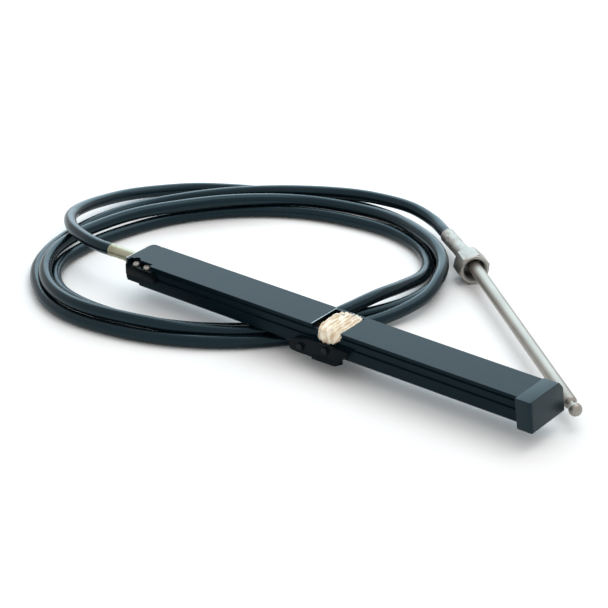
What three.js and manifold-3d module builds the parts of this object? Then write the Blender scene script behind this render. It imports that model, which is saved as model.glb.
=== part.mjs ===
// Back-mounted rack steering cable for an outboard engine, in millimetres, +Z up.
// X runs along the rack housing from its cable end to its capped end, and the floor is at Z 0.
import * as THREE from 'three';
import { mergeVertices } from 'three/addons/utils/BufferGeometryUtils.js';
import Module from 'manifold-3d';

const wasm = await Module();
wasm.setup();

// Clearances
const seatGap = 0.3; // between pieces that rest on or fit into each other
const runningGap = 0.7; // between pieces that slide or turn on each other

// Steering travel of the rack and of the ram
const travel = 229;

// Rack housing
const housingLength = 575.7;
const housingWidth = 50.8;
const housingHeight = 32.7;
const housingUnderside = 22.3; // above the floor
const housingWall = 3.2;
const grooveDepth = 2.2;
const housingTop = housingUnderside + housingHeight;
const halfHousing = housingWidth / 2;

// Helm window, cut through the top and down the near edge
const windowStart = 284;
const windowLength = 42;
const windowFarSide = 21; // from the centreline
const windowEdgeDrop = 5; // how far the cut goes down the near side

// End cap, pushed over the housing
const capWall = 8.1;
const capLength = 19.5;
const capOverlap = 10;
const capRise = 2; // above the housing's top
const capDrop = 3.3; // below the housing's underside
const capLean = 5; // how much further out its foot is than its top
const capCornerRadius = 5;
const capChamferWide = 8;
const capChamferTall = 10;

// End block in the cable end
const blockLength = 26;
const bossLength = 46;
const bossRadius = 6.6;
const bossStand = 1.4; // proud of the housing's side
const bossDrop = 14; // its centre line below the housing's top
const footBossRadius = 7;
const footBossAt = 31;
const scallopStart = 4;
const scallopLength = 34;
const scallopDepth = 8;
const scallopReach = 6.2; // inwards from the side
const biteRadius = 4.6; // of the round bite over the first screw
const notchAt = 12.7; // of the small notch in the far edge
const screwHeadRadius = 4.2;
const screwHeadHeight = 3.4;
const screwPlaces = [13, 30];
const screwInset = 4.3; // its axis inwards from the housing's side
const screwLedge = housingTop - scallopDepth + runningGap; // top of the ledge it stands on
const cornerRelief = 20; // length cut from the bottom of the sides
const cornerReliefHeight = 6.2;

// End plate and rack ferrule
const plateThickness = 2;
const plateInset = 1.6; // inside the housing's outline
const plateCorner = 6;
const exitDrop = 12; // cable axis below the housing's top
const ferruleRadius = 7.5;
const ferruleLength = 45;
const ferruleRimRadius = 8.1;
const ferruleRimLength = 4;
const ferruleNeckRadius = 4.6;

// Gear rack
const rackLength = 300;
const rackWidth = 19;
const rackHeight = 17;
const rackPitch = 4.7;
const toothHeight = 3.2;
const rackEndGap = 11; // to the cap at rest
const rackToBlockGap = 7; // to the end block at full travel

// Helm bracket under the window
const bracketStart = 258;
const bracketLength = 84;
const bracketBase = 5;
const cheekThickness = 7.2;
const cheekHeight = 15.4; // above the housing's underside
const earRadius = 8;
const lugLength = 37;
const lugWidth = 3.4;
const lugHeight = 6;
const lugStart = 35; // from the bracket's rounded end
const boltRadius = 3;
const boltHeadFlats = 8;
const boltHeadHeight = 2.6;
const boltPlaces = [[16.4, 8.5], [52, 14.5]]; // along from the rounded end, above the bracket's foot

// Output end: ferrule, coupling nut, guide tube and ram
const ramHeading = -38.84; // degrees from +X
const ferruleHeading = -34.6;
const bendAllowance = 0.35; // between the ferrule's and the guide's faces, which meet at a slight angle
const mouthPlace = [316.6, 266.7]; // where the ram's axis leaves the nut
const ramRadius = 7.94;
const ramBackset = 14; // its inner end behind the nut's mouth
const ramToKnob = 350.5; // from the nut's mouth to the neck before the rounded end
const neckRadius = 4.8;
const knobRadius = 7.8;
const knobSetBack = 12.5; // its centre behind the ram's shoulder
const knobSteps = 8;
const guideRadius = 4.6;
const guideLength = 318;
const nutFlats = 36;
const nutLength = 29;
const nutMouthRadius = 14.6;
const nutMouthDepth = 23;
const nutRingRadius = 18.6; // of the round ring in front of the hexagon
const nutRingLength = 1.6;
const nutRearRadius = 12.8;
const nutTurn = 15; // degrees its flats are turned from level
const nutSag = 2.4; // the loose nut's axis below the ram's
const nutSideways = 0.8; // and towards the housing
const outputRadius = 9.75;
const outputLength = 78;
const outputCollarRadius = 10.8;
const outputCollarLength = 5;
const dimpleRadius = 2.6;
const nutCorner = nutFlats / 2 / Math.cos(Math.PI / 6);
const nutHeight = nutCorner * Math.cos(THREE.MathUtils.degToRad(30 - nutTurn)); // lowest corner on the floor
const ramHeight = nutHeight + nutSag;

// Cable
const cableRadius = 8;
const cableSides = 10;
const cableSteps = 84;
// Route from the rack ferrule to the output ferrule, points of the cable's centre line
const cableRoute = [
  [-66, 0, 43], [-92, 5, 42.5], [-136, 25, 39], [-173, 62, 32.5], [-189, 105, 25], [-193, 148, 18],
  [-188, 190, 12.5], [-169, 230, 9], [-137, 266, 8.3], [-98, 292, 8.3], [-56, 313, 8.3], [31, 347, 8.3],
  [123, 353, 8.3], [172, 339, 8.3], [208, 319, 8.3], [246, 290, 8.3], [273, 255, 8.3], [288, 212, 8.3],
  [288, 165, 8.3], [273, 120, 8.3], [250, 79, 8.3], [195, 6, 8.3], [121, -51, 8.3], [33, -80, 8.3],
  [-59, -74, 8.3], [-103, -44, 8.3], [-123, -10, 8.3], [-129, 36, 8.3], [-126, 82, 8.3], [-99, 171, 8.3],
  [-43, 245, 8.3], [35, 296, 8.3], [126, 315, 8.3], [172, 311, 8.3], [214, 294, 8.5], [248, 262, 10],
  [267, 220, 14], [270, 174, 20], [266, 128, 24.4], [254, 82, 20], [238, 42, 13.6], [214, 5, 13.2],
  [180, -31, 13.2], [146, -57, 15.5], [103, -83, 20], [13, -107, 23], [-34, -103, 22.5], [-76, -84, 22], [-110, -53, 22],
  [-133, -12, 22], [-141, 34, 22.5], [-137, 80, 23], [-124, 124, 24.5], [-102, 166, 25], [-46, 241, 25],
  [22, 304, 20], [110, 331, 18.5], [158, 326, 21], [200, 309, 24], [242, 286, 25], [275, 255, 25],
  [297, 215, 24], [307, 172, 18.5], [299, 126, 13], [282, 83, 10], [234, 3, 8.3], [167, -61, 8.3],
  [83, -102, 8.3], [-8, -115, 8.3], [-56, -105, 8.3], [-95, -82, 8.3], [-131, -48, 8.3], [-153, -11, 8.3],
  [-167, 34, 8.3], [-172, 80, 8.3], [-168, 126, 9], [-151, 169, 12], [-91, 241, 20], [-20, 301, 24.2],
  [60, 348, 25], [106, 361, 25], [151, 364, 24.2], [194, 352, 22],
];

const black = { color: 0x14181b, roughness: 0.4, metalness: 0.2 };
const looks = {
  housing: { color: 0x2a3238, roughness: 0.35, metalness: 0.4 },
  cap: { color: 0x39444b, roughness: 0.55, metalness: 0 },
  block: black,
  zinc: { color: 0xc9cdd0, roughness: 0.35, metalness: 0.9 },
  yellowZinc: { color: 0xb5ad8c, roughness: 0.4, metalness: 0.9 },
  rack: { color: 0x8d8f90, roughness: 0.35, metalness: 0.9 },
  bracket: black,
  cable: { color: 0x0f1418, roughness: 0.4, metalness: 0 },
  stainless: { color: 0xb8b6b3, roughness: 0.3, metalness: 1 },
};

const alongX = new THREE.Matrix4().makeBasis(
  new THREE.Vector3(0, 1, 0), new THREE.Vector3(0, 0, 1), new THREE.Vector3(1, 0, 0),
);
const alongY = new THREE.Matrix4().makeBasis(
  new THREE.Vector3(1, 0, 0), new THREE.Vector3(0, 0, 1), new THREE.Vector3(0, -1, 0),
);

function solidOf(geometry) {
  const bare = geometry.clone();
  bare.deleteAttribute('normal');
  bare.deleteAttribute('uv');
  const merged = mergeVertices(bare, 1e-4);
  return new wasm.Manifold(new wasm.Mesh({
    numProp: 3,
    vertProperties: new Float32Array(merged.attributes.position.array),
    triVerts: new Uint32Array(merged.index.array),
  }));
}

function geometryOf(solid) {
  const mesh = solid.getMesh();
  const geometry = new THREE.BufferGeometry();
  geometry.setAttribute('position', new THREE.BufferAttribute(new Float32Array(mesh.vertProperties), 3));
  geometry.setIndex(new THREE.BufferAttribute(new Uint32Array(mesh.triVerts), 1));
  return geometry;
}

function extruded(shape, depth, matrix, curveSegments = 6) {
  const geometry = new THREE.ExtrudeGeometry(shape, { depth, bevelEnabled: false, curveSegments });
  return matrix ? geometry.applyMatrix4(matrix) : geometry;
}

function boxBetween(low, high) {
  const size = [0, 1, 2].map((k) => high[k] - low[k]);
  const geometry = new THREE.BoxGeometry(...size);
  return geometry.translate(...[0, 1, 2].map((k) => (low[k] + high[k]) / 2));
}

// A closed outline around points, with every corner cut by its own radius (0 keeps it sharp)
function roundedShape(corners) {
  const shape = new THREE.Shape();
  const count = corners.length;
  corners.forEach(([x, y, radius], index) => {
    const here = new THREE.Vector2(x, y);
    const before = new THREE.Vector2(...corners[(index + count - 1) % count]).sub(here).normalize();
    const after = new THREE.Vector2(...corners[(index + 1) % count]).sub(here).normalize();
    const start = here.clone().addScaledVector(before, radius);
    const end = here.clone().addScaledVector(after, radius);
    if (index === 0) {
      shape.moveTo(start.x, start.y);
    } else {
      shape.lineTo(start.x, start.y);
    }
    if (radius > 0) {
      shape.quadraticCurveTo(x, y, end.x, end.y);
    }
  });
  shape.closePath();
  return shape;
}

function circlePath(radius, x = 0, y = 0) {
  const path = new THREE.Path();
  path.absarc(x, y, radius, 0, Math.PI * 2, true);
  return path;
}

// A turned piece about its own +Z, from a closed outline of radius and height
function turned(outline, sides = 32) {
  const points = [...outline, outline[0]].map(([radius, height]) => new THREE.Vector2(radius, height));
  const geometry = new THREE.LatheGeometry(points, sides);
  return geometryOf(solidOf(geometry.rotateX(Math.PI / 2)));
}

function hexPrism(flats, depth) {
  const shape = new THREE.Shape();
  const corner = flats / 2 / Math.cos(Math.PI / 6);
  for (let index = 0; index < 6; index += 1) {
    const angle = (index * Math.PI) / 3;
    const move = index === 0 ? 'moveTo' : 'lineTo';
    shape[move](corner * Math.cos(angle), corner * Math.sin(angle));
  }
  shape.closePath();
  return extruded(shape, depth);
}

const part = new THREE.Group();
const cableNames = ['cable_jacket'];

function addPiece(name, geometry, look, parent = part) {
  const mesh = new THREE.Mesh(geometry, new THREE.MeshStandardMaterial(looks[look]));
  mesh.name = name;
  parent.add(mesh);
  return mesh;
}

// Outline of a long boss that starts at the housing's end, grown by a margin
function bossShape(margin) {
  const height = housingTop - bossDrop;
  const boss = new THREE.Shape();
  boss.absarc(scallopStart + bossLength - bossRadius, height, bossRadius + margin, -Math.PI / 2, Math.PI / 2, false);
  boss.lineTo(seatGap - 2 * margin, height + bossRadius + margin);
  boss.lineTo(seatGap - 2 * margin, height - bossRadius - margin);
  boss.closePath();
  return boss;
}

// Rack housing: a hollow extrusion with two ledges down each side, open at both ends
function sideProfile(sign) {
  const out = sign * halfHousing;
  const inward = sign * (halfHousing - grooveDepth);
  return [
    [out, housingTop], [out, housingTop - 1.6], [inward, housingTop - 2.4], [inward, housingTop - 6],
    [out, housingTop - 7], [out, housingTop - 13], [inward, housingTop - 13.8], [inward, housingTop - 16.2],
    [out, housingTop - 17.4], [out, housingUnderside + 2.4], [out - sign * 2.4, housingUnderside],
  ];
}

function makeHousing() {
  const outline = [...sideProfile(-1), ...sideProfile(1).reverse()];
  const shape = new THREE.Shape(outline.map(([y, z]) => new THREE.Vector2(y, z)));
  const innerHalf = halfHousing - grooveDepth - housingWall;
  const innerTop = housingTop - housingWall;
  const innerLow = housingUnderside + housingWall;
  const hollow = [
    [-innerHalf, innerLow], [innerHalf, innerLow], [innerHalf, innerTop], [-innerHalf, innerTop],
  ];
  shape.holes.push(new THREE.Path(hollow.map(([y, z]) => new THREE.Vector2(y, z))));
  let solid = solidOf(extruded(shape, housingLength, alongX));
  const window = boxBetween(
    [windowStart, -halfHousing - 1, housingTop - windowEdgeDrop],
    [windowStart + windowLength, windowFarSide, housingTop + 1],
  );
  const topWindow = boxBetween(
    [windowStart, -innerHalf, innerTop - 1], [windowStart + windowLength, windowFarSide, housingTop + 1],
  );
  solid = solid.subtract(solidOf(window)).subtract(solidOf(topWindow));
  const scallop = boxBetween(
    [scallopStart, -halfHousing - 1, housingTop - scallopDepth],
    [scallopStart + scallopLength, -halfHousing + scallopReach, housingTop + 1],
  );
  const bite = new THREE.CylinderGeometry(biteRadius, biteRadius, scallopDepth, 20).rotateX(Math.PI / 2);
  bite.translate(screwPlaces[0], -halfHousing + scallopReach, housingTop);
  const notch = boxBetween(
    [notchAt, halfHousing - 1, housingTop - scallopDepth], [notchAt + 2, halfHousing + 1, housingTop + 1],
  );
  solid = solid.subtract(solidOf(scallop)).subtract(solidOf(bite)).subtract(solidOf(notch));
  for (const sign of [-1, 1]) {
    const slotFrom = sign < 0 ? 1 - innerHalf : halfHousing + 1;
    const slotDepth = halfHousing + 2 - innerHalf;
    const slot = extruded(bossShape(runningGap), slotDepth, alongY, 10).translate(0, slotFrom, 0);
    const outer = sign * (halfHousing + 1);
    const relief = boxBetween(
      [-1, Math.min(outer, sign * (innerHalf - 1)), housingUnderside - 1],
      [cornerRelief, Math.max(outer, sign * (innerHalf - 1)), housingUnderside + cornerReliefHeight],
    );
    solid = solid.subtract(solidOf(slot)).subtract(solidOf(relief));
  }
  return geometryOf(solid);
}

// End cap: a rounded cup that leans out towards its foot, with a chamfer on its far top corner
function makeCap() {
  const start = housingLength - capOverlap;
  const end = start + capLength;
  const top = housingTop + capRise;
  const foot = housingUnderside - capDrop;
  const half = halfHousing + capWall;
  const side = roundedShape([
    [start, top, 0], [start, foot, 2], [end, foot, capCornerRadius], [end, top, 0.8],
  ]);
  const front = roundedShape([
    [-half, foot, capCornerRadius], [half, foot, capCornerRadius], [half, top - capChamferTall, 1.5],
    [half - capChamferWide, top, 1.5], [-half, top, 1.2],
  ]);
  const plan = roundedShape([
    [start, -half, 0], [end, -half, capCornerRadius], [end, half, capCornerRadius * 0.5], [start, half, 0],
  ]);
  const acrossY = extruded(side, 4 * half, alongY).translate(0, 2 * half, 0);
  const acrossX = extruded(front, 2 * capLength, alongX).translate(start - capLength / 2, 0, 0);
  const upright = extruded(plan, 2 * top).translate(0, 0, foot - top / 2);
  const blank = solidOf(acrossY).intersect(solidOf(acrossX)).intersect(solidOf(upright));
  const lean = new THREE.Matrix4();
  lean.elements[8] = -capLean / (top - foot);
  const leant = geometryOf(blank).translate(0, 0, -top).applyMatrix4(lean).translate(0, 0, top);
  const pocket = boxBetween(
    [start - 1, -halfHousing - seatGap, housingUnderside - seatGap],
    [housingLength + seatGap, halfHousing + seatGap, housingTop + seatGap],
  );
  return geometryOf(solidOf(leant).subtract(solidOf(pocket)));
}

// End block: fills the hollow at the cable end, with a long boss through each side and a foot boss
function makeBlock() {
  const innerHalf = halfHousing - grooveDepth - housingWall - seatGap;
  const innerTop = housingTop - housingWall - seatGap;
  const innerLow = housingUnderside + housingWall + seatGap;
  let solid = solidOf(boxBetween([seatGap, -innerHalf, innerLow], [blockLength, innerHalf, innerTop]));
  const bossDepth = halfHousing + bossStand - innerHalf + 4;
  for (const sign of [-1, 1]) {
    const from = sign < 0 ? -innerHalf + 4 : halfHousing + bossStand;
    solid = solid.add(solidOf(extruded(bossShape(0), bossDepth, alongY, 10).translate(0, from, 0)));
    const padLow = Math.min(sign * (innerHalf - 3), sign * (halfHousing - 0.8));
    const padHigh = Math.max(sign * (innerHalf - 3), sign * (halfHousing - 0.8));
    const footPad = boxBetween(
      [seatGap, padLow, innerLow],
      [cornerRelief - runningGap, padHigh, housingUnderside + cornerReliefHeight - runningGap],
    );
    solid = solid.add(solidOf(footPad));
  }
  const ledgeCut = boxBetween(
    [-1, -halfHousing, screwLedge],
    [blockLength + 1, screwHeadRadius + screwInset + runningGap - halfHousing, housingTop],
  );
  const bridge = boxBetween(
    [scallopStart + runningGap, 1.4 - halfHousing, housingTop - bossDrop],
    [scallopStart + scallopLength - runningGap, 4 - innerHalf, screwLedge],
  );
  solid = solid.subtract(solidOf(ledgeCut)).add(solidOf(bridge));
  const bore = new THREE.CylinderGeometry(
    ferruleNeckRadius + seatGap, ferruleNeckRadius + seatGap, blockLength + 4, 20,
  );
  bore.rotateZ(Math.PI / 2).translate(blockLength / 2, 0, housingTop - exitDrop);
  return geometryOf(solid.subtract(solidOf(bore)));
}

// Pan-head screw, standing on the block in the scallop
function makeScrew() {
  return turned([
    [0, 0], [screwHeadRadius, 0], [screwHeadRadius, screwHeadHeight * 0.5],
    [screwHeadRadius * 0.72, screwHeadHeight * 0.9], [screwHeadRadius * 0.3, screwHeadHeight],
    [0, screwHeadHeight],
  ], 20);
}

function makeEndPlate() {
  const half = halfHousing - plateInset;
  const low = housingUnderside + cornerReliefHeight;
  const high = housingTop - 0.4;
  const shape = roundedShape([
    [-half, low, plateCorner], [half, low, plateCorner], [half, high, 1.5], [-half, high, 1.5],
  ]);
  shape.holes.push(circlePath(ferruleNeckRadius + seatGap, 0, housingTop - exitDrop));
  return extruded(shape, plateThickness, alongX).translate(-plateThickness, 0, 0);
}

// Rack ferrule: a crimped sleeve with a rim at its cable side and a neck into the block
function makeRackFerrule() {
  const neckLengthIn = plateThickness + blockLength * 0.6;
  return turned([
    [0, -ferruleLength], [ferruleRimRadius - 0.6, -ferruleLength], [ferruleRimRadius, -ferruleLength + 0.6],
    [ferruleRimRadius, -ferruleLength + ferruleRimLength], [ferruleRadius, -ferruleLength + ferruleRimLength + 0.8],
    [ferruleRadius, -ferruleLength * 0.45], [ferruleRadius - 0.5, -ferruleLength * 0.42],
    [ferruleRadius - 0.5, -ferruleLength * 0.2], [ferruleRadius, -ferruleLength * 0.17], [ferruleRadius, 0],
    [ferruleNeckRadius, 0], [ferruleNeckRadius, neckLengthIn], [0, neckLengthIn],
  ]).applyMatrix4(alongX);
}

// Gear rack: a square bar with teeth across its top
function makeRack() {
  const shape = new THREE.Shape();
  const count = Math.floor(rackLength / rackPitch);
  const margin = (rackLength - count * rackPitch) / 2;
  shape.moveTo(0, 0);
  shape.lineTo(rackLength, 0);
  shape.lineTo(rackLength, rackHeight);
  for (let index = count - 1; index >= 0; index -= 1) {
    const at = margin + index * rackPitch;
    shape.lineTo(at + rackPitch * 0.86, rackHeight);
    shape.lineTo(at + rackPitch * 0.64, rackHeight - toothHeight);
    shape.lineTo(at + rackPitch * 0.36, rackHeight - toothHeight);
    shape.lineTo(at + rackPitch * 0.14, rackHeight);
  }
  shape.lineTo(0, rackHeight);
  shape.closePath();
  return extruded(shape, rackWidth, alongY).translate(0, rackWidth / 2, 0);
}

// Helm bracket: a saddle with a cheek up each side, a rounded ear and a foot lug
function makeBracket() {
  const foot = housingUnderside - seatGap - bracketBase;
  const inner = halfHousing + seatGap;
  const outer = inner + cheekThickness;
  const end = bracketStart + bracketLength;
  const top = housingUnderside + cheekHeight;
  let solid = solidOf(boxBetween(
    [bracketStart + earRadius, -outer, foot], [end - 22, outer, housingUnderside - seatGap],
  ));
  const cheek = roundedShape([
    [bracketStart, foot, earRadius * 0.7], [end - 22, foot, 3], [end - 8, top - 12, 4], [end, top, 2],
    [bracketStart + 3 * earRadius, top, 5], [bracketStart, foot + 1.7 * earRadius, earRadius * 0.9],
  ]);
  const lugOutline = [
    [inner, foot], [outer + lugWidth, foot], [outer + lugWidth, foot + 1], [outer - 0.5, foot + lugHeight],
    [inner, foot + lugHeight],
  ];
  for (const sign of [-1, 1]) {
    const from = sign < 0 ? -inner : outer;
    solid = solid.add(solidOf(extruded(cheek, cheekThickness, alongY).translate(0, from, 0)));
    const lug = new THREE.Shape(lugOutline.map(([y, z]) => new THREE.Vector2(sign * y, z)));
    solid = solid.add(solidOf(extruded(lug, lugLength, alongX).translate(bracketStart + lugStart, 0, 0)));
    for (const [along, up] of boltPlaces) {
      const hole = new THREE.CylinderGeometry(boltRadius + seatGap, boltRadius + seatGap, 3 * cheekThickness, 16);
      hole.translate(bracketStart + along, sign * outer, foot + up);
      solid = solid.subtract(solidOf(hole));
    }
  }
  return geometryOf(solid);
}

function makeBolt(sign) {
  const head = hexPrism(boltHeadFlats, boltHeadHeight).translate(0, 0, seatGap);
  const shank = new THREE.CylinderGeometry(boltRadius, boltRadius, cheekThickness, 16);
  shank.rotateX(Math.PI / 2).translate(0, 0, seatGap + 0.5 - cheekThickness / 2);
  const bolt = geometryOf(solidOf(head).add(solidOf(shank)));
  return bolt.rotateX(sign < 0 ? Math.PI / 2 : -Math.PI / 2);
}

// Output ferrule: a crimped sleeve with a collar inside the nut and dimples near the cable
function makeOutputFerrule() {
  const sleeve = turned([
    [0, 0], [outputRadius - 0.8, 0], [outputRadius, 0.8], [outputRadius, outputLength * 0.3],
    [outputRadius - 0.5, outputLength * 0.33], [outputRadius - 0.5, outputLength * 0.52],
    [outputRadius, outputLength * 0.55], [outputRadius, outputLength], [0, outputLength],
  ]);
  let solid = solidOf(sleeve);
  for (const turn of [0.35, 1.4, 2.6, 3.8, 5.1]) {
    const dimple = new THREE.SphereGeometry(dimpleRadius, 10, 8);
    const reach = outputRadius + dimpleRadius * 0.55;
    dimple.translate(reach * Math.cos(turn), reach * Math.sin(turn), outputLength * 0.15);
    solid = solid.subtract(solidOf(dimple));
  }
  return geometryOf(solid);
}

// Coupling nut: a hexagon with turned-off corners, a wide mouth and a smaller hole behind
function makeNut() {
  const turnedBody = turned([
    [nutRearRadius, -nutLength], [nutFlats / 2 - 0.4, -nutLength], [nutCorner, -nutLength + 2.4],
    [nutCorner, -nutRingLength - 1.2], [nutRingRadius + 0.3, -nutRingLength], [nutRingRadius, -0.4],
    [nutRingRadius - 0.4, 0], [nutMouthRadius + 0.8, 0], [nutMouthRadius, -1.2], [nutMouthRadius, -nutMouthDepth],
    [nutRearRadius, -nutMouthDepth],
  ], 48);
  const hexagon = hexPrism(nutFlats, nutLength + 2).translate(0, 0, -nutLength - 1);
  hexagon.rotateZ(THREE.MathUtils.degToRad(nutTurn));
  return geometryOf(solidOf(turnedBody).intersect(solidOf(hexagon)));
}

// Ram: a tube with a solid end that steps down to a neck and a rounded knob
function makeRam() {
  const bore = guideRadius + runningGap;
  const knobCentre = ramToKnob + knobSetBack;
  const neckAngle = -Math.acos(neckRadius / knobRadius);
  const outline = [
    [bore, -ramBackset], [ramRadius - 0.5, -ramBackset], [ramRadius, -ramBackset + 0.5],
    [ramRadius, ramToKnob - 4], [ramRadius - 1, ramToKnob - 1.6], [neckRadius, ramToKnob],
  ];
  for (let step = 0; step <= knobSteps; step += 1) {
    const angle = neckAngle + (step / knobSteps) * (Math.PI / 2 - neckAngle);
    const radius = step === knobSteps ? 0 : knobRadius * Math.cos(angle);
    outline.push([radius, knobCentre + knobRadius * Math.sin(angle)]);
  }
  outline.push([0, ramToKnob - 12], [bore, ramToKnob - 16]);
  return turned(outline);
}

function makeGuideTube() {
  return turned([
    [0, 0], [guideRadius, 0], [guideRadius, guideLength - 1], [guideRadius - 1, guideLength], [0, guideLength],
  ], 20);
}

// A frame at a place, with its +Z along a heading in the floor plane
function headingGroup(heading, place) {
  const group = new THREE.Group();
  const angle = THREE.MathUtils.degToRad(heading);
  const forward = new THREE.Vector3(Math.cos(angle), Math.sin(angle), 0);
  const sideways = new THREE.Vector3(-Math.sin(angle), Math.cos(angle), 0);
  group.quaternion.setFromRotationMatrix(
    new THREE.Matrix4().makeBasis(sideways, new THREE.Vector3(0, 0, 1), forward),
  );
  group.position.set(...place);
  part.add(group);
  return group;
}

function addRackEnd() {
  addPiece('rack_housing', makeHousing(), 'housing');
  addPiece('end_cap', makeCap(), 'cap');
  addPiece('end_block', makeBlock(), 'block');
  addPiece('end_plate', makeEndPlate(), 'zinc');
  screwPlaces.forEach((along, index) => {
    const screw = addPiece(`end_screw_${index + 1}`, makeScrew(), 'zinc');
    screw.position.set(along, screwInset - halfHousing, screwLedge + seatGap);
  });
  const ferrule = addPiece('rack_ferrule', makeRackFerrule(), 'yellowZinc');
  ferrule.position.set(-plateThickness - seatGap, 0, housingTop - exitDrop);
  const rack = addPiece('gear_rack', makeRack(), 'rack');
  rack.position.set(housingLength - rackEndGap - rackLength, 0, housingUnderside + housingWall + runningGap);
  addPiece('helm_bracket', makeBracket(), 'bracket');
  const foot = housingUnderside - seatGap - bracketBase;
  const boltOut = halfHousing + seatGap + cheekThickness;
  for (const [sideName, sign] of [['near', -1], ['far', 1]]) {
    boltPlaces.forEach(([along, up], index) => {
      const bolt = addPiece(`bracket_bolt_${sideName}_${index + 1}`, makeBolt(sign), 'zinc');
      bolt.position.set(bracketStart + along, sign * boltOut, foot + up);
    });
  }
}

function addOutputEnd() {
  const ramGroup = headingGroup(ramHeading, [...mouthPlace, ramHeight]);
  addPiece('ram', makeRam(), 'stainless', ramGroup);
  const nutGroup = headingGroup(ramHeading, [...mouthPlace, nutHeight]);
  nutGroup.translateX(-nutSideways);
  addPiece('coupling_nut', makeNut(), 'zinc', nutGroup);
  const guideBack = nutMouthDepth - 1;
  const guide = addPiece('guide_tube', makeGuideTube(), 'stainless', ramGroup);
  guide.position.z = -guideBack;
  const back = new THREE.Vector3(0, 0, -guideBack - seatGap - bendAllowance).applyQuaternion(ramGroup.quaternion);
  const angle = THREE.MathUtils.degToRad(ferruleHeading);
  const start = [
    mouthPlace[0] + back.x - outputLength * Math.cos(angle),
    mouthPlace[1] + back.y - outputLength * Math.sin(angle),
    ramHeight,
  ];
  addPiece('output_ferrule', makeOutputFerrule(), 'zinc', headingGroup(ferruleHeading, start));
  return start;
}

// Cable: one tube along the route, from face to face of its two ferrules
function addCable(outputStart) {
  const rackFace = -plateThickness - 2 * seatGap - ferruleLength;
  const angle = THREE.MathUtils.degToRad(ferruleHeading);
  const lead = (distance) => [
    outputStart[0] - distance * Math.cos(angle), outputStart[1] - distance * Math.sin(angle), outputStart[2],
  ];
  const points = [[rackFace, 0, housingTop - exitDrop], ...cableRoute, lead(14), lead(seatGap)];
  const curve = new THREE.CatmullRomCurve3(points.map((point) => new THREE.Vector3(...point)), false, 'centripetal');
  const section = new THREE.Shape();
  for (let index = 0; index < cableSides; index += 1) {
    const turn = ((index + 0.5) / cableSides) * Math.PI * 2;
    const move = index === 0 ? 'moveTo' : 'lineTo';
    section[move](cableRadius * Math.cos(turn), cableRadius * Math.sin(turn));
  }
  section.closePath();
  const tube = new THREE.ExtrudeGeometry(section, { steps: cableSteps, extrudePath: curve, bevelEnabled: false });
  addPiece(cableNames[0], tube, 'cable');
}

addRackEnd();
addCable(addOutputEnd());

// The origin is on the floor, under the middle of everything but the cable
part.updateMatrixWorld(true);
const rigidBox = new THREE.Box3();
for (const mesh of part.children.flatMap((child) => (child.isMesh ? [child] : child.children))) {
  if (!cableNames.includes(mesh.name)) {
    rigidBox.expandByObject(mesh, true);
  }
}
const middle = rigidBox.getCenter(new THREE.Vector3());
part.position.set(-middle.x, -middle.y, 0);

export default part;
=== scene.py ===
import bpy
import bmesh
import numpy as np
from mathutils import Matrix, Vector


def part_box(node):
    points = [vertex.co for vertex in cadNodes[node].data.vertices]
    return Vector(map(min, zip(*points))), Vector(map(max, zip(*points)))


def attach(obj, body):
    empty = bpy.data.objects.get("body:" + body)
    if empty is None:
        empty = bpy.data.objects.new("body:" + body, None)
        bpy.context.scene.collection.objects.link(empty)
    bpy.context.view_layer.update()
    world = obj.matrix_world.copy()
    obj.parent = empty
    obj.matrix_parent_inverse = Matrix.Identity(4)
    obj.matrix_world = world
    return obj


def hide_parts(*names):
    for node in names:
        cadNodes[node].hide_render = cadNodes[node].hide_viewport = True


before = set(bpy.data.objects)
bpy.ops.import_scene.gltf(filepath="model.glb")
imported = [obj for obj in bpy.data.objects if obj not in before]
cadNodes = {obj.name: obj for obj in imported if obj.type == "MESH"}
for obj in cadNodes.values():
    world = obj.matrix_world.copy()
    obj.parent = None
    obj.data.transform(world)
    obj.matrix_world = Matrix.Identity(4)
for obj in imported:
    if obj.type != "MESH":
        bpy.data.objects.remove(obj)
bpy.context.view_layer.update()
mm = 0.001

# The housing's cable end, on its centreline and on the floor, is where every number here starts
housingLow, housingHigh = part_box("rack_housing")
start = np.array([housingLow.x, (housingLow.y + housingHigh.y) / 2, 0.0])
housingTop = housingHigh.z / mm


# Millimetres from the housing's cable end to the part's frame
def place(points):
    return np.asarray(points, float) * mm + start


# Camera, at the photograph's angle, distance and lens
def makeCamera():
    look = {"azimuth": 37.70, "elevation": 26.84, "place": (1646.2, -1801.1, 1212.6), "lens": 130.26,
            "sensor": 36, "farthest": 30}
    azimuth, elevation = np.radians([look["azimuth"], look["elevation"]])
    flat = np.cos(elevation)
    backward = Vector((np.sin(azimuth) * flat, -np.cos(azimuth) * flat, np.sin(elevation)))
    rightward = Vector((np.cos(azimuth), np.sin(azimuth), 0))
    upward = backward.cross(rightward)
    camera = bpy.data.objects.new("camera", bpy.data.cameras.new("camera"))
    bpy.context.scene.collection.objects.link(camera)
    camera.matrix_world = Matrix.Translation(place(look["place"])) @ Matrix(
        (rightward, upward, backward)).transposed().to_4x4()
    camera.data.sensor_width = look["sensor"]
    camera.data.lens = look["lens"]
    camera.data.clip_end = look["farthest"]
    bpy.context.scene.camera = camera


makeCamera()
print("camera done")


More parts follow.
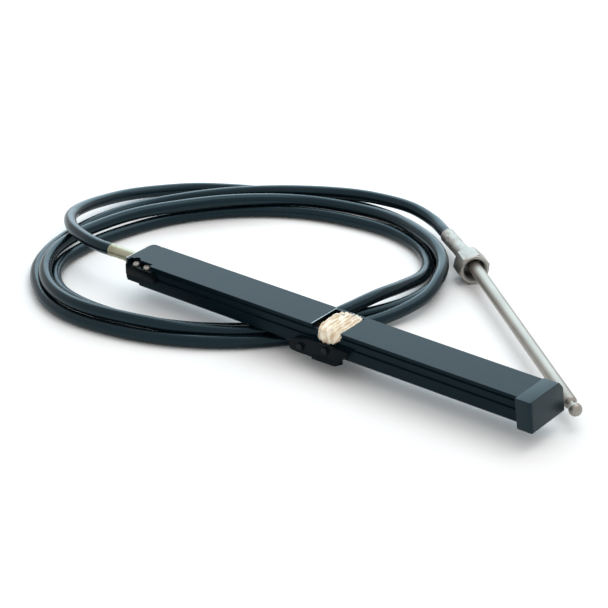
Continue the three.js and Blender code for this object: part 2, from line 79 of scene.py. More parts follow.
# Short ways to add nodes to a material or to a node group
class Nodes:
    def __init__(self, tree):
        self.tree = tree

    def node(self, kind, inputs=None, **settings):
        made = self.tree.nodes.new(kind)
        for key, value in settings.items():
            setattr(made, key, value)
        for key, value in (inputs or {}).items():
            self.feed(value, made.inputs[key])
        return made

    # A socket is linked, a number or a colour is set
    def feed(self, value, socket):
        if isinstance(value, bpy.types.NodeSocket):
            self.tree.links.new(value, socket)
        elif socket.type == "RGBA":
            socket.default_value = (*value, 1)
        else:
            socket.default_value = value

    def noise(self, scale, stretch=(1, 1, 1), detail=4):
        source = self.node("ShaderNodeTexCoord").outputs["Object"]
        source = self.node("ShaderNodeMapping", {"Vector": source, "Scale": stretch}).outputs["Vector"]
        settings = {"Vector": source, "Scale": scale, "Detail": detail, "Roughness": 0.55}
        return self.node("ShaderNodeTexNoise", settings).outputs["Fac"]

    # The middle of a noise's range, spread from low to high
    def spread(self, value, low, high, fromLow=0.3, fromHigh=0.7):
        limits = {"From Min": fromLow, "From Max": fromHigh, "To Min": low, "To Max": high}
        return self.node("ShaderNodeMapRange", {"Value": value, **limits}).outputs["Result"]

    def mix(self, factor, first, second):
        firstColour, secondColour, mixedColour = 6, 7, 2  # the colour sockets of a Mix node
        made = self.node("ShaderNodeMix", {"Factor": factor}, data_type="RGBA")
        self.feed(first, made.inputs[firstColour])
        self.feed(second, made.inputs[secondColour])
        return made.outputs[mixedColour]

    def bump(self, height, strength, distance):
        settings = {"Height": height, "Strength": strength, "Distance": distance * mm}
        return self.node("ShaderNodeBump", settings).outputs["Normal"]


# Node group for every finish: wide patches between two colours, and a fine grain in gloss and height
def makeMottleGroup():
    group = bpy.data.node_groups.new("mottle", "ShaderNodeTree")
    colour, number = "NodeSocketColor", "NodeSocketFloat"
    for name, kind in (("Dark", colour), ("Light", colour), ("Smoothest", number), ("Roughest", number),
                       ("Patch Scale", number), ("Grain Scale", number)):
        group.interface.new_socket(name, in_out="INPUT", socket_type=kind)
    for name, kind in (("Colour", colour), ("Roughness", number), ("Height", number)):
        group.interface.new_socket(name, in_out="OUTPUT", socket_type=kind)
    graph = Nodes(group)
    given = graph.node("NodeGroupInput").outputs
    patches = graph.noise(given["Patch Scale"])
    grain = graph.noise(given["Grain Scale"], detail=6)
    graph.node("NodeGroupOutput", {
        "Colour": graph.mix(graph.spread(patches, 0, 1), given["Dark"], given["Light"]),
        "Roughness": graph.spread(grain, given["Smoothest"], given["Roughest"]),
        "Height": grain,
    })
    return group


mottleGroup = makeMottleGroup()


# A material with its main shader's own values, named as its sockets with _ for a space
def newMaterial(name, **values):
    made = bpy.data.materials.new(name)
    made.use_nodes = True
    graph = Nodes(made.node_tree)
    main = made.node_tree.nodes["Principled BSDF"].inputs
    for socket, value in values.items():
        graph.feed(value, main[socket.replace("_", " ")])
    return made, graph, main


# roughness is its middle and how far the grain moves it, relief is the grain's height in mm
def mottled(name, dark, light, roughness, patchScale, grainScale, relief, **values):
    made, graph, main = newMaterial(name, **values)
    middle, spread = roughness
    pattern = graph.node("ShaderNodeGroup", {
        "Dark": dark, "Light": light, "Smoothest": middle - spread, "Roughest": middle + spread,
        "Patch Scale": patchScale, "Grain Scale": grainScale,
    }, node_tree=mottleGroup).outputs
    graph.feed(pattern["Colour"], main["Base Color"])
    graph.feed(pattern["Roughness"], main["Roughness"])
    graph.feed(graph.bump(pattern["Height"], 0.5, relief), main["Normal"])
    return made


# Finishes
coolSheen = (0.5, 0.85, 1.0)
housingPaint = mottled(
    "housing_paint", dark=(0.002, 0.006, 0.009), light=(0.003, 0.009, 0.013), roughness=(0.30, 0.04),
    patchScale=9, grainScale=900, relief=0.02, Specular_IOR_Level=0.11, Specular_Tint=coolSheen)
capPlastic = mottled(
    "cap_plastic", dark=(0.003, 0.008, 0.011), light=(0.005, 0.012, 0.016), roughness=(0.38, 0.06),
    patchScale=18, grainScale=1400, relief=0.05, Specular_IOR_Level=0.28, Specular_Tint=(0.6, 0.9, 1.0))
blockPlastic = mottled(
    "block_plastic", dark=(0.002, 0.003, 0.004), light=(0.004, 0.006, 0.007), roughness=(0.2, 0.06),
    patchScale=40, grainScale=160, relief=0.25, Specular_IOR_Level=0.09)
zincPlate = mottled(
    "zinc_plate", dark=(0.31, 0.295, 0.27), light=(0.43, 0.41, 0.375), roughness=(0.50, 0.08),
    patchScale=60, grainScale=500, relief=0.04, Metallic=0.8)
yellowZinc = mottled(
    "yellow_zinc", dark=(0.27, 0.26, 0.18), light=(0.42, 0.40, 0.30), roughness=(0.42, 0.08),
    patchScale=45, grainScale=600, relief=0.03, Metallic=0.9)
rackSteel = mottled(
    "rack_steel", dark=(0.16, 0.16, 0.16), light=(0.30, 0.30, 0.29), roughness=(0.36, 0.1),
    patchScale=50, grainScale=500, relief=0.03, Metallic=1.0)
# Bare metal for the window's cut edge, bright enough that it also paints that edge's highlight
bareMetalWithHighlight = mottled(
    "bare_metal_with_highlight", dark=(0.32, 0.33, 0.34), light=(0.46, 0.48, 0.48), roughness=(0.34, 0.06),
    patchScale=60, grainScale=500, relief=0.02, Metallic=0.9)
bracketPaint = mottled(
    "bracket_paint", dark=(0.002, 0.004, 0.006), light=(0.005, 0.009, 0.012), roughness=(0.24, 0.06),
    patchScale=25, grainScale=260, relief=0.12, Specular_IOR_Level=0.06)
boltBlack = mottled(
    "bolt_black", dark=(0.003, 0.004, 0.005), light=(0.007, 0.008, 0.010), roughness=(0.2, 0.06),
    patchScale=70, grainScale=500, relief=0.05, Specular_IOR_Level=0.12)
cableSkin = mottled(
    "cable_skin", dark=(0.0015, 0.004, 0.006), light=(0.003, 0.007, 0.010), roughness=(0.25, 0.04),
    patchScale=14, grainScale=420, relief=0.015, Specular_IOR_Level=0.34, Specular_Tint=coolSheen)
ramSteel = mottled(
    "ram_steel", dark=(0.29, 0.27, 0.24), light=(0.37, 0.345, 0.31), roughness=(0.43, 0.05),
    patchScale=12, grainScale=900, relief=0.01, Metallic=0.85)
floorPaper = mottled(
    "floor_paper", dark=(0.86, 0.86, 0.86), light=(0.90, 0.90, 0.90), roughness=(0.85, 0.04),
    patchScale=3, grainScale=60, relief=0.02)


# Cream grease with tan streaks and a few dark smears, drawn out along the teeth
def makeGreaseLook():
    cream, tan, smear = (0.88, 0.82, 0.68), (0.56, 0.42, 0.26), (0.07, 0.09, 0.12)
    made, graph, main = newMaterial("grease", Coat_Weight=0.35, Coat_Roughness=0.2, Subsurface_Weight=0.2,
                                    Subsurface_Scale=0.002)
    streaks = graph.noise(210, (1, 0.22, 0.5), detail=5)
    smears = graph.noise(120, (1, 0.35, 0.6), detail=3)
    streaked = graph.mix(graph.spread(streaks, 0, 1, 0.38, 0.62), tan, cream)
    graph.feed(graph.mix(graph.spread(smears, 1, 0, 0.30, 0.36), streaked, smear), main["Base Color"])
    graph.feed(graph.spread(streaks, 0.5, 0.3), main["Roughness"])
    graph.feed(graph.bump(streaks, 0.7, 0.5), main["Normal"])
    return made


grease = makeGreaseLook()
print("finishes done")


# Mesh helpers
def addMesh(name, points, faces, material, body, smooth=True):
    mesh = bpy.data.meshes.new(name)
    mesh.from_pydata(np.asarray(points, float).tolist(), [], faces)
    mesh.validate()
    piece = bpy.data.objects.new(name, mesh)
    bpy.context.scene.collection.objects.link(piece)
    mesh.materials.append(material)
    mesh.polygons.foreach_set("use_smooth", np.full(len(mesh.polygons), smooth))
    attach(piece, body)
    return piece


# Quads over rows x columns points; the last column joins the first
def gridFaces(rows, columns):
    row, column = np.meshgrid(np.arange(rows - 1), np.arange(columns), indexing="ij")
    here = (row * columns + column).ravel()
    beside = (row * columns + (column + 1) % columns).ravel()
    return np.stack([here, beside, beside + columns, here + columns], 1).tolist()


# Merges the doubled points of a skin and turns all its faces outwards; fill closes its open ends
def closeSkin(piece, within=1e-6, fill=False):
    skin = bmesh.new()
    skin.from_mesh(piece.data)
    bmesh.ops.remove_doubles(skin, verts=skin.verts, dist=within)
    if fill:
        bmesh.ops.holes_fill(skin, edges=skin.edges, sides=0)
    bmesh.ops.recalc_face_normals(skin, faces=skin.faces)
    skin.to_mesh(piece.data)
    skin.free()


# Smooth shading, with hard edges only where faces meet at more than this angle
def sharpen(piece, degrees=35):
    edges = bmesh.new()
    edges.from_mesh(piece.data)
    for edge in edges.edges:
        edge.smooth = edge.calc_face_angle(0) < np.radians(degrees)
    for face in edges.faces:
        face.smooth = True
    edges.to_mesh(piece.data)
    edges.free()


# A profile of (radius, along) pairs in mm turned about an axis; wave(radius, along, turn) may reshape it
def turnedPoints(profile, columns, origin, axis, wave=None):
    axis = np.asarray(axis, float) / np.linalg.norm(axis)
    side = np.cross(axis, (0, 0, 1.0))
    side = side / np.linalg.norm(side)
    up = np.cross(side, axis)
    profile = np.asarray(profile, float)
    turn = np.linspace(0, 2 * np.pi, columns, endpoint=False)
    radius, angle = np.meshgrid(profile[:, 0], turn, indexing="ij")
    along = np.repeat(profile[:, 1:2], columns, 1)
    if wave is not None:
        radius, along = wave(radius, along, angle)
    points = (along[..., None] * axis + (radius * np.cos(angle))[..., None] * side
              + (radius * np.sin(angle))[..., None] * up)
    return place(points.reshape(-1, 3) + np.asarray(origin, float))


def turnedPiece(name, profile, columns, origin, axis, material, body, wave=None):
    points = turnedPoints(profile, columns, origin, axis, wave)
    piece = addMesh(name, points, gridFaces(len(profile), columns), material, body)
    closeSkin(piece)
    sharpen(piece)
    return piece


# A CAD node's own solid, with its flat faces joined up and its edges rounded
def dressed(node, name, material, bevelWidth, segments, body="base"):
    look = {"flatWithin": 0.6, "edgeOver": 28}  # degrees
    mesh = cadNodes[node].data.copy()
    mesh.name = name
    joined = bmesh.new()
    joined.from_mesh(mesh)
    bmesh.ops.remove_doubles(joined, verts=joined.verts, dist=1e-6)
    bmesh.ops.dissolve_limit(joined, angle_limit=np.radians(look["flatWithin"]), verts=joined.verts,
                             edges=joined.edges)
    joined.to_mesh(mesh)
    joined.free()
    piece = bpy.data.objects.new(name, mesh)
    bpy.context.scene.collection.objects.link(piece)
    mesh.materials.clear()
    mesh.materials.append(material)
    mesh.polygons.foreach_set("use_smooth", np.full(len(mesh.polygons), True))
    bevel = piece.modifiers.new("rounded", "BEVEL")
    bevel.width = bevelWidth * mm
    bevel.segments = segments
    bevel.limit_method = "ANGLE"
    bevel.angle_limit = np.radians(look["edgeOver"])
    bevel.harden_normals = True
    bevel.use_clamp_overlap = True
    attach(piece, body)
    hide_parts(node)
    return piece


# Takes the cutter's volume out of the piece for good, with its other modifiers applied
def cutBy(piece, cutter):
    cut = piece.modifiers.new("cut", "BOOLEAN")
    cut.object = cutter
    cut.operation = "DIFFERENCE"
    cut.solver = "EXACT"
    bpy.context.view_layer.update()
    shaped = bpy.data.meshes.new_from_object(piece.evaluated_get(bpy.context.evaluated_depsgraph_get()))
    piece.modifiers.clear()
    piece.data = shaped
    sharpen(piece)


# Cable: the same route as the solid's, in millimetres
cableRoute = [
    (-47.6, 0, 43), (-66, 0, 43), (-92, 5, 42.5), (-136, 25, 39), (-173, 62, 32.5), (-189, 105, 25),
    (-193, 148, 18),
    (-188, 190, 12.5), (-169, 230, 9), (-137, 266, 8.3), (-98, 292, 8.3), (-56, 313, 8.3), (31, 347, 8.3),
    (123, 353, 8.3), (172, 339, 8.3), (208, 319, 8.3), (246, 290, 8.3), (273, 255, 8.3), (288, 212, 8.3),
    (288, 165, 8.3), (273, 120, 8.3), (250, 79, 8.3), (195, 6, 8.3), (121, -51, 8.3), (33, -80, 8.3),
    (-59, -74, 8.3), (-103, -44, 8.3), (-123, -10, 8.3), (-129, 36, 8.3), (-126, 82, 8.3), (-99, 171, 8.3),
    (-43, 245, 8.3), (35, 296, 8.3), (126, 315, 8.3), (172, 311, 8.3), (214, 294, 8.5), (248, 262, 10),
    (267, 220, 14), (270, 174, 20), (266, 128, 24.4), (254, 82, 20), (238, 42, 13.6), (214, 5, 13.2),
    (180, -31, 13.2), (146, -57, 15.5), (103, -83, 20), (13, -107, 23), (-34, -103, 22.5), (-76, -84, 22),
    (-110, -53, 22), (-133, -12, 22), (-141, 34, 22.5), (-137, 80, 23), (-124, 124, 24.5), (-102, 166, 25),
    (-46, 241, 25), (22, 304, 20), (110, 331, 18.5), (158, 326, 21), (200, 309, 24), (242, 286, 25),
    (275, 255, 25), (297, 215, 24), (307, 172, 18.5), (299, 126, 13), (282, 83, 10), (234, 3, 8.3),
    (167, -61, 8.3), (83, -102, 8.3), (-8, -115, 8.3), (-56, -105, 8.3), (-95, -82, 8.3), (-131, -48, 8.3),
    (-153, -11, 8.3), (-167, 34, 8.3), (-172, 80, 8.3), (-168, 126, 9), (-151, 169, 12), (-91, 241, 20),
    (-20, 301, 24.2), (60, 348, 25), (106, 361, 25), (151, 364, 24.2), (194, 352, 22),
]

# Output end: the ram leaves the nut's mouth, and the ferrule stands behind it at a slight angle
outputEnd = {"ramHeading": -38.84, "ferruleHeading": -34.6, "mouth": (316.6, 266.7, 22.476),
             "nutSideways": 0.8, "nutSag": 2.4, "ferruleLength": 78, "ferruleBehindMouth": 22.65}


def headingAxis(degrees):
    return np.array([np.cos(np.radians(degrees)), np.sin(np.radians(degrees)), 0])


ramAxis = headingAxis(outputEnd["ramHeading"])
ferruleAxis = headingAxis(outputEnd["ferruleHeading"])
ramSide = np.array([-ramAxis[1], ramAxis[0], 0])
mouthPlace = np.array(outputEnd["mouth"])
nutAxisPlace = mouthPlace - outputEnd["nutSideways"] * ramSide - np.array([0, 0, outputEnd["nutSag"]])
outputStart = (mouthPlace - outputEnd["ferruleBehindMouth"] * ramAxis
               - outputEnd["ferruleLength"] * ferruleAxis)


# Centripetal Catmull-Rom through the points: pairs of straight blends, blended again over neighbouring knots
def smoothRoute(points, perSpan):
    points = np.asarray(points, float)
    points = np.vstack([2 * points[0] - points[1], points, 2 * points[-1] - points[-2]])
    knots = np.concatenate([[0], np.cumsum(np.linalg.norm(np.diff(points, axis=0), axis=1) ** 0.5)])
    t0, t1, t2, t3 = [knots[k:len(points) - 3 + k, None, None] for k in range(4)]
    p0, p1, p2, p3 = [points[k:len(points) - 3 + k, None, :] for k in range(4)]
    t = t1 + (t2 - t1) * np.linspace(0, 1, perSpan, endpoint=False)[None, :, None]
    a1 = (t1 - t) / (t1 - t0) * p0 + (t - t0) / (t1 - t0) * p1
    a2 = (t2 - t) / (t2 - t1) * p1 + (t - t1) / (t2 - t1) * p2
    a3 = (t3 - t) / (t3 - t2) * p2 + (t - t2) / (t3 - t2) * p3
    b1 = (t2 - t) / (t2 - t0) * a1 + (t - t0) / (t2 - t0) * a2
    b2 = (t3 - t) / (t3 - t1) * a2 + (t - t1) / (t3 - t1) * a3
    curve = (t2 - t) / (t2 - t1) * b1 + (t - t1) / (t2 - t1) * b2
    return np.vstack([curve.reshape(-1, 3), points[-2]])


# A circle carried along the route, level with the floor, and closed at both ends
def makeCable():
    look = {"radius": 7.95, "sides": 40, "perSpan": 20, "straight": 14, "endGap": 0.3, "pathStep": 4}
    ends = [outputStart - look["straight"] * ferruleAxis, outputStart - look["endGap"] * ferruleAxis]
    route = smoothRoute(np.vstack([cableRoute, ends]), look["perSpan"])
    heading = np.gradient(route, axis=0)
    heading /= np.linalg.norm(heading, axis=1)[:, None]
    side = np.cross(heading, (0, 0, 1.0))
    side /= np.linalg.norm(side, axis=1)[:, None]
    up = np.cross(side, heading)
    turn = np.linspace(0, 2 * np.pi, look["sides"], endpoint=False)
    ring = np.cos(turn)[None, :, None] * side[:, None] + np.sin(turn)[None, :, None] * up[:, None]
    points = place((route[:, None] + look["radius"] * ring).reshape(-1, 3))
    last = (len(route) - 1) * look["sides"]
    endFaces = [list(range(look["sides"])), list(range(last + look["sides"] - 1, last - 1, -1))]
    piece = addMesh("cableJacket", points, gridFaces(len(route), look["sides"]) + endFaces, cableSkin, "base")
    closeSkin(piece)
    sharpen(piece, 50)
    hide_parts("cable_jacket")


makeCable()
print("cable done")


# Rounds the far corner of the cable end, seen from above, by what lies outside its arc
def roundFarCorner(*pieces):
    look = {"radius": 5.5, "side": 25.4, "low": 18, "high": 58, "past": 3, "beyond": 2, "steps": 12}
    radius = look["radius"]
    inner, outer = look["side"] - radius, look["side"] + look["beyond"]
    angle = np.linspace(np.pi, np.pi / 2, look["steps"])
    arc = np.stack([radius * (1 + np.cos(angle)), inner + radius * np.sin(angle)], 1)
    outline = [(-look["past"], inner)] + arc.tolist() + [(radius, outer), (-look["past"], outer)]
    count = len(outline)
    points = [(x, y, z) for z in (look["low"], look["high"]) for x, y in outline]
    faces = [list(range(count))[::-1], list(range(count, 2 * count))]
    faces += [[k, (k + 1) % count, (k + 1) % count + count, k + count] for k in range(count)]
    mesh = bpy.data.meshes.new("cornerCutter")
    mesh.from_pydata(place(points).tolist(), [], faces)
    cutter = bpy.data.objects.new("cornerCutter", mesh)
    bpy.context.scene.collection.objects.link(cutter)
    for piece in pieces:
        cutBy(piece, cutter)
        piece.modifiers.new("flatFaces", "WEIGHTED_NORMAL").keep_sharp = True
    bpy.data.objects.remove(cutter)


# The bracket's foot lugs run out at a slant towards the capped end
def slantLugEnds(piece):
    look = {"outer": 33.2, "from": 325, "back": 4, "lift": 0.6}
    corners = np.zeros(len(piece.data.vertices) * 3)
    piece.data.vertices.foreach_get("co", corners)
    corners = corners.reshape(-1, 3)
    local = (corners - start) / mm
    moved = (np.abs(local[:, 1]) > look["outer"]) & (local[:, 0] > look["from"])
    corners[moved, 0] -= look["back"] * mm
    corners[moved, 2] += look["lift"] * mm
    piece.data.vertices.foreach_set("co", corners.ravel())
    piece.data.update()


# Solids that keep their shape: bevel width in mm, bevel segments, slot
housing = dressed("rack_housing", "rackHousing", housingPaint, 0.45, 2)
dressed("end_cap", "endCap", capPlastic, 1.5, 4)
dressed("end_block", "endBlock", blockPlastic, 0.6, 3)
endPlate = dressed("end_plate", "endPlate", zincPlate, 0.25, 2)
roundFarCorner(housing, endPlate)
slantLugEnds(dressed("helm_bracket", "helmBracket", bracketPaint, 1.4, 4))
dressed("gear_rack", "gearRack", rackSteel, 0.25, 2, "rack")
for sideName in ("near", "far"):
    for index in (1, 2):
        bolt = f"{sideName}_{index}"
        dressed(f"bracket_bolt_{bolt}", f"bracketBolt_{bolt}", boltBlack, 0.4, 3)
dressed("coupling_nut", "couplingNut", zincPlate, 0.45, 3, "nut")
cadNodes["guide_tube"].data.materials.clear()
cadNodes["guide_tube"].data.materials.append(ramSteel)
print("solids done")


# Ram: a bored rod with a rounded shoulder, a neck and a ball-like knob with a cross hole
def makeRam():
    look = {"radius": 7.94, "toKnob": 350.5, "backset": 14, "bore": 5.3, "boreEnd": 60, "edge": 0.6,
            "neck": 4.8, "knob": 7.8, "knobBeyond": 12.5, "hole": 1.9, "holeBeyond": 3.1, "holeLean": 0.55,
            "holeRise": 0.84, "drillReach": 12, "drillColumns": 32, "columns": 96, "rings": 12, "knobRings": 24}
    radius, neck, knob, toKnob, back = [look[key] for key in ("radius", "neck", "knob", "toKnob", "backset")]
    angle = np.linspace(-np.arccos(neck / knob), np.pi / 2, look["knobRings"])
    ball = np.stack([knob * np.cos(angle), toKnob + look["knobBeyond"] + knob * np.sin(angle)], 1)
    ball[-1, 0] = 0
    inside = [(0, look["boreEnd"]), (look["bore"], look["boreEnd"]), (look["bore"], -back)]
    rear = [(radius - look["edge"], -back), (radius, -back + look["edge"])]
    rod = [(radius, along) for along in np.linspace(0, toKnob - 4.4, look["rings"])]
    shoulder = [(radius - 0.25, toKnob - 3), (radius - 1, toKnob - 1.5), (neck + 0.7, toKnob - 0.4),
                (neck, toKnob + 0.4)]
    piece = turnedPiece("ramRod", inside + rear + rod + shoulder + ball.tolist(), look["columns"], mouthPlace,
                        ramAxis, ramSteel, "rod")
    hole, reach = look["hole"], look["drillReach"]
    drill = turnedPiece("ramDrill", [(0, -reach), (hole, -reach), (hole, reach), (0, reach)],
                        look["drillColumns"], mouthPlace + (toKnob + look["holeBeyond"]) * ramAxis,
                        ramSide * look["holeLean"] + (0, 0, look["holeRise"]), ramSteel, "rod")
    cutBy(piece, drill)
    bpy.data.objects.remove(drill)
    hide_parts("ram")


# Output ferrule: a sleeve with a lip, a pressed barrel and a waist; a dimple is a bell curve along it and
# a power of a cosine round it
def makeOutputFerrule():
    look = {"radius": 9.75, "waist": 9.4, "columns": 96, "dimple": 0.75, "dimpleWidth": 2.6,
            "dimpleAt": (12.5, 20), "dimples": 6}
    radius, waist, length = look["radius"], look["waist"], outputEnd["ferruleLength"]

    def press(ring, along, turn):
        for index, at in enumerate(look["dimpleAt"]):
            phase = look["dimples"] * turn / 2 + index * np.pi / 2
            pressed = np.exp(-((along - at) / look["dimpleWidth"]) ** 2) * np.cos(phase) ** 6
            ring = ring - look["dimple"] * pressed * (ring > 5)
        return ring, along

    lip = [(0, 0.2), (8.1, 0.2), (8.3, 0), (9.3, 0), (radius, 0.5), (radius, 2.4), (radius - 0.3, 3)]
    barrel = [(9.45 + 0.3 * (along > 6), along) for along in np.linspace(4, 30, 40)]
    rest = [(radius, 31), (waist, 32.4), (waist, 42), (radius, 43.4), (radius, length - 0.6), (9.2, length),
            (0, length)]
    piece = turnedPiece("outputFerrule", lip + barrel + rest, look["columns"], outputStart, ferruleAxis,
                        zincPlate, "base", press)
    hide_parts("output_ferrule")


# Rack ferrule: a sleeve with a rim, and rings pressed in by half sine waves between two places along it
def makeRackFerrule():
    look = {"face": -47.3, "centre": 43, "columns": 96, "radius": 7.5, "press": 0.28, "ringPitch": 5.2,
            "ringsFrom": 9, "ringsTo": 35, "neck": 4.6, "shoulder": 45, "neckEnd": 60}
    rim = [(0, 0.2), (6.9, 0.2), (7.2, 0), (7.7, 0), (8.1, 0.5), (8.1, 3.4), (7.6, 4.3)]
    along = np.linspace(5, 43, 96)
    wave = np.sin((along - look["ringsFrom"]) * np.pi / look["ringPitch"])
    ringed = (along > look["ringsFrom"]) & (along < look["ringsTo"])
    rings = np.stack([look["radius"] - look["press"] * np.maximum(0, wave) ** 0.7 * ringed, along], 1)
    tail = [(look["radius"], 44.4), (7.2, look["shoulder"]), (look["neck"], look["shoulder"]),
            (look["neck"], look["neckEnd"]), (0, look["neckEnd"])]
    piece = turnedPiece("rackFerrule", rim + rings.tolist() + tail, look["columns"],
                        (look["face"], 0, look["centre"]), (1, 0, 0), yellowZinc, "base")
    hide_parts("rack_ferrule")


# The screw thread in the nut's mouth: its crest climbs one pitch in a turn
def makeNutThread():
    look = {"wall": 14.55, "depth": 1.0, "pitch": 2.1, "from": -1.6, "to": -21, "rows": 150, "columns": 96}
    wall = look["wall"]
    rows = [(wall - 0.1, along) for along in np.linspace(look["from"], look["to"], look["rows"])]

    def climb(radius, along, turn):
        tooth = np.abs(((along / look["pitch"] + turn / (2 * np.pi)) % 1) * 2 - 1)
        return radius - look["depth"] * tooth * (radius < wall - 0.05), along

    piece = turnedPiece("nutThread", [(wall, look["from"])] + rows + [(wall, look["to"])], look["columns"],
                        nutAxisPlace, ramAxis, rackSteel, "nut", climb)


# The flange at the ferrule's end that holds the nut on
def makeFerruleCollar():
    look = {"back": -22.6, "front": -20.4, "radius": 13.2, "edge": 0.3, "columns": 64}
    radius, back, front, edge = [look[key] for key in ("radius", "back", "front", "edge")]
    profile = [(0, back), (radius - edge, back), (radius, back + edge), (radius, front - edge),
               (radius - edge, front), (0, front)]
    piece = turnedPiece("ferruleCollar", profile, look["columns"], nutAxisPlace, ramAxis, rackSteel, "base")


# The bare metal of the cut along the window's cable side: a thin bright strip, partly real bare metal and
# partly a painted highlight along that edge
def makeBareEdgeHighlight():
    look = {"cut": 284.0, "width": 0.6, "reach": 24.6, "below": 0.5, "above": 0.05}
    corners = [(x, y, z) for x in (look["cut"] - look["width"], look["cut"] + look["above"])
               for y in (-look["reach"], look["reach"])
               for z in (housingTop - look["below"], housingTop + look["above"])]
    faces = [(0, 1, 3, 2), (4, 6, 7, 5), (0, 4, 5, 1), (2, 3, 7, 6), (0, 2, 6, 4), (1, 5, 7, 3)]
    piece = addMesh("bareEdgeHighlight", place(corners), faces, bareMetalWithHighlight, "base", smooth=False)


# A pan head whose dome is sunk by a cross: a slot where either coordinate is small, out to a reach
def makeEndScrew(index, along):
    look = {"radius": 4.2, "height": 3.4, "rim": 1.3, "slot": 0.55, "slotReach": 2.3, "slotDepth": 1.5,
            "inset": 4.3 - 25.4, "seat": 48.0, "columns": 96}
    angle = np.linspace(0, np.pi / 2, 22)
    dome = np.stack([look["radius"] * np.cos(angle) ** 0.75,
                     look["rim"] + (look["height"] - look["rim"]) * np.sin(angle)], 1)
    inner = [(radius, look["height"] - 0.02 * radius) for radius in np.linspace(2.6, 0, 26)]
    profile = [(0, 0), (look["radius"], 0)] + dome[:13].tolist() + inner

    def recess(radius, height, turn):
        across = np.minimum(np.abs(radius * np.cos(turn)), np.abs(radius * np.sin(turn)))
        inSlot = 0.5 - 0.5 * np.tanh((across - look["slot"]) / 0.12)
        inReach = 0.5 - 0.5 * np.tanh((radius - look["slotReach"]) / 0.15)
        return radius, height - look["slotDepth"] * inSlot * inReach * (height > 2.4)

    piece = turnedPiece(f"endScrew_{index}", profile, look["columns"], (along, look["inset"], look["seat"]),
                        (0.001, 0, 1), zincPlate, "base", recess)
    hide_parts(f"end_screw_{index}")


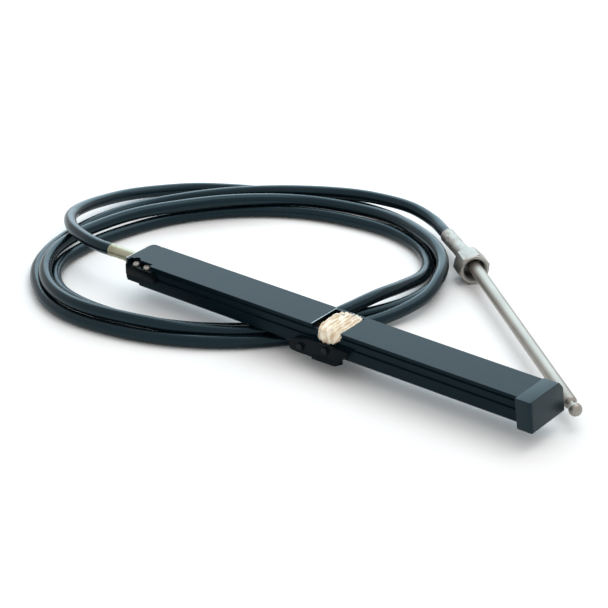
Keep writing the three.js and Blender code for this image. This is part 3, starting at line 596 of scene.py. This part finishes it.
# Grease over the rack in the window: a closed loop across the housing, carried along it, pinched in at both
# ends, ridged like the teeth by a sine and hanging over the near side as a lobe
def makeGrease():
    look = {"from": 289.5, "to": 326.6, "rows": 110, "columns": 200, "centre": (-2, 49), "endPower": 9,
            "ridge": 0.75, "ridgePitch": 4.7, "wander": 0.45, "lobeDrop": 8.0, "lobeAt": 305, "lobeHalf": 18,
            "farPull": 9, "nearest": -28.6, "lean": 2.0}
    loop = np.array([(21.5, 52.6), (23, 55.4), (20.8, 56), (13, 55.7), (0, 55.4), (-12, 55.3), (-20, 54.6),
                     (-25, 52.6), (-27.4, 49.6), (-28.1, 47.5), (-27.9, 45.6), (-26.9, 44.6), (-25.8, 45.8),
                     (-25.6, 49), (-24, 50.6), (-19.6, 48), (-12, 43.9), (0, 43.7), (14, 43.9), (19.4, 46),
                     (20.6, 49)])
    lobe = np.array([0, 0, 0, 0, 0, 0, 0, 0.02, 0.25, 0.6, 0.9, 1, 0.85, 0.3, 0, 0, 0, 0, 0, 0, 0])
    knots = np.concatenate([loop, loop[:1]])
    reach = np.concatenate([[0], np.cumsum(np.linalg.norm(np.diff(knots, axis=0), axis=1))])
    fine = np.linspace(0, reach[-1], look["columns"], endpoint=False)
    columns = (knots[:, 0], knots[:, 1], np.append(lobe, lobe[0]))
    sampled = [np.interp(fine, reach, values) for values in columns]
    weights = np.array([1, 4, 6, 4, 1]) / 16  # softens the loop's corners
    across, height, drop = [sum(weight * np.roll(values, k - 2) for k, weight in enumerate(weights))
                            for values in sampled]
    along = np.linspace(look["from"], look["to"], look["rows"])[:, None]
    share = (along - look["from"]) / (look["to"] - look["from"])
    ends = (1 - np.abs(2 * share - 1) ** look["endPower"]) ** (1 / 3)
    farShare = np.clip((across - 8) / 16, 0, 1) * np.clip((302 - along) / 12, 0, 1)
    hang = np.clip(1 - np.abs((along - look["lobeAt"]) / look["lobeHalf"]) ** 2.2, 0, 1)
    hang = hang * (1 + 0.12 * np.sin(along * 0.9))
    ridges = np.sin((along + 0.05 * across) * 2 * np.pi / look["ridgePitch"])
    wander = (0.5 * np.sin(0.41 * along + 0.23 * across) + 0.4 * np.sin(0.9 * along - 0.35 * across + 1)
              + 0.25 * np.sin(1.7 * across + 0.6 * along))
    top = np.clip((height - 47) / 5, 0, 1)
    lift = top * (look["ridge"] * ridges + look["wander"] * wander)
    middle, level = look["centre"]
    x = along + 0.35 * np.sin(0.5 * across) + np.clip((-across - 20) / 8, 0, 1) * look["lean"]
    y = middle + (across - middle) * ends + 0.3 * wander * (1 - top) - look["farPull"] * farShare
    z = level + (height - level + lift) * ends - look["lobeDrop"] * drop * hang * ends
    points = place(np.stack([x, np.maximum(y, look["nearest"]), z], 2).reshape(-1, 3))
    piece = addMesh("greaseLobe", points, gridFaces(look["rows"], look["columns"]), grease, "base")
    closeSkin(piece, within=2e-6, fill=True)
    sharpen(piece, 80)


makeRam()
makeOutputFerrule()
makeRackFerrule()
makeNutThread()
makeFerruleCollar()
makeBareEdgeHighlight()
makeEndScrew(1, 13)
makeEndScrew(2, 30)
makeGrease()
print("turned pieces and grease done")


# Studio: a pale floor, a pale world and soft lights
def makeStudio():
    look = {"floorReach": 6.0, "world": 0.9}
    reach = look["floorReach"]
    mesh = bpy.data.meshes.new("floor")
    mesh.from_pydata([(-reach, -reach, 0), (reach, -reach, 0), (reach, reach, 0), (-reach, reach, 0)], [],
                     [(0, 1, 2, 3)])
    floor = bpy.data.objects.new("floor", mesh)
    mesh.materials.append(floorPaper)
    bpy.context.scene.collection.objects.link(floor)
    world = bpy.data.worlds.new("studio")
    world.use_nodes = True
    world.node_tree.nodes["Background"].inputs["Color"].default_value = (1, 1, 1, 1)
    world.node_tree.nodes["Background"].inputs["Strength"].default_value = look["world"]
    bpy.context.scene.world = world
    lamps = {
        "backSoft": {"place": (-900, 1500, 980), "aim": (150, 100, 0), "size": 1.9, "power": 27,
                     "tint": (0.62, 0.87, 1.0)},
        "topSoft": {"place": (500, 800, 1900), "aim": (150, 120, 0), "size": 1.5, "power": 14,
                    "tint": (1.0, 0.99, 0.97)},
    }
    for name, lamp in lamps.items():
        light = bpy.data.lights.new(name, "AREA")
        light.size = lamp["size"]
        light.energy = lamp["power"]
        light.color = lamp["tint"]
        holder = bpy.data.objects.new(name, light)
        spot, aim = Vector(place(lamp["place"])), Vector(place(lamp["aim"]))
        holder.location = spot
        holder.rotation_mode = "QUATERNION"
        holder.rotation_quaternion = (aim - spot).to_track_quat("-Z", "Y")
        bpy.context.scene.collection.objects.link(holder)


makeStudio()
bpy.context.scene.view_settings.view_transform = "Standard"
print("studio done")
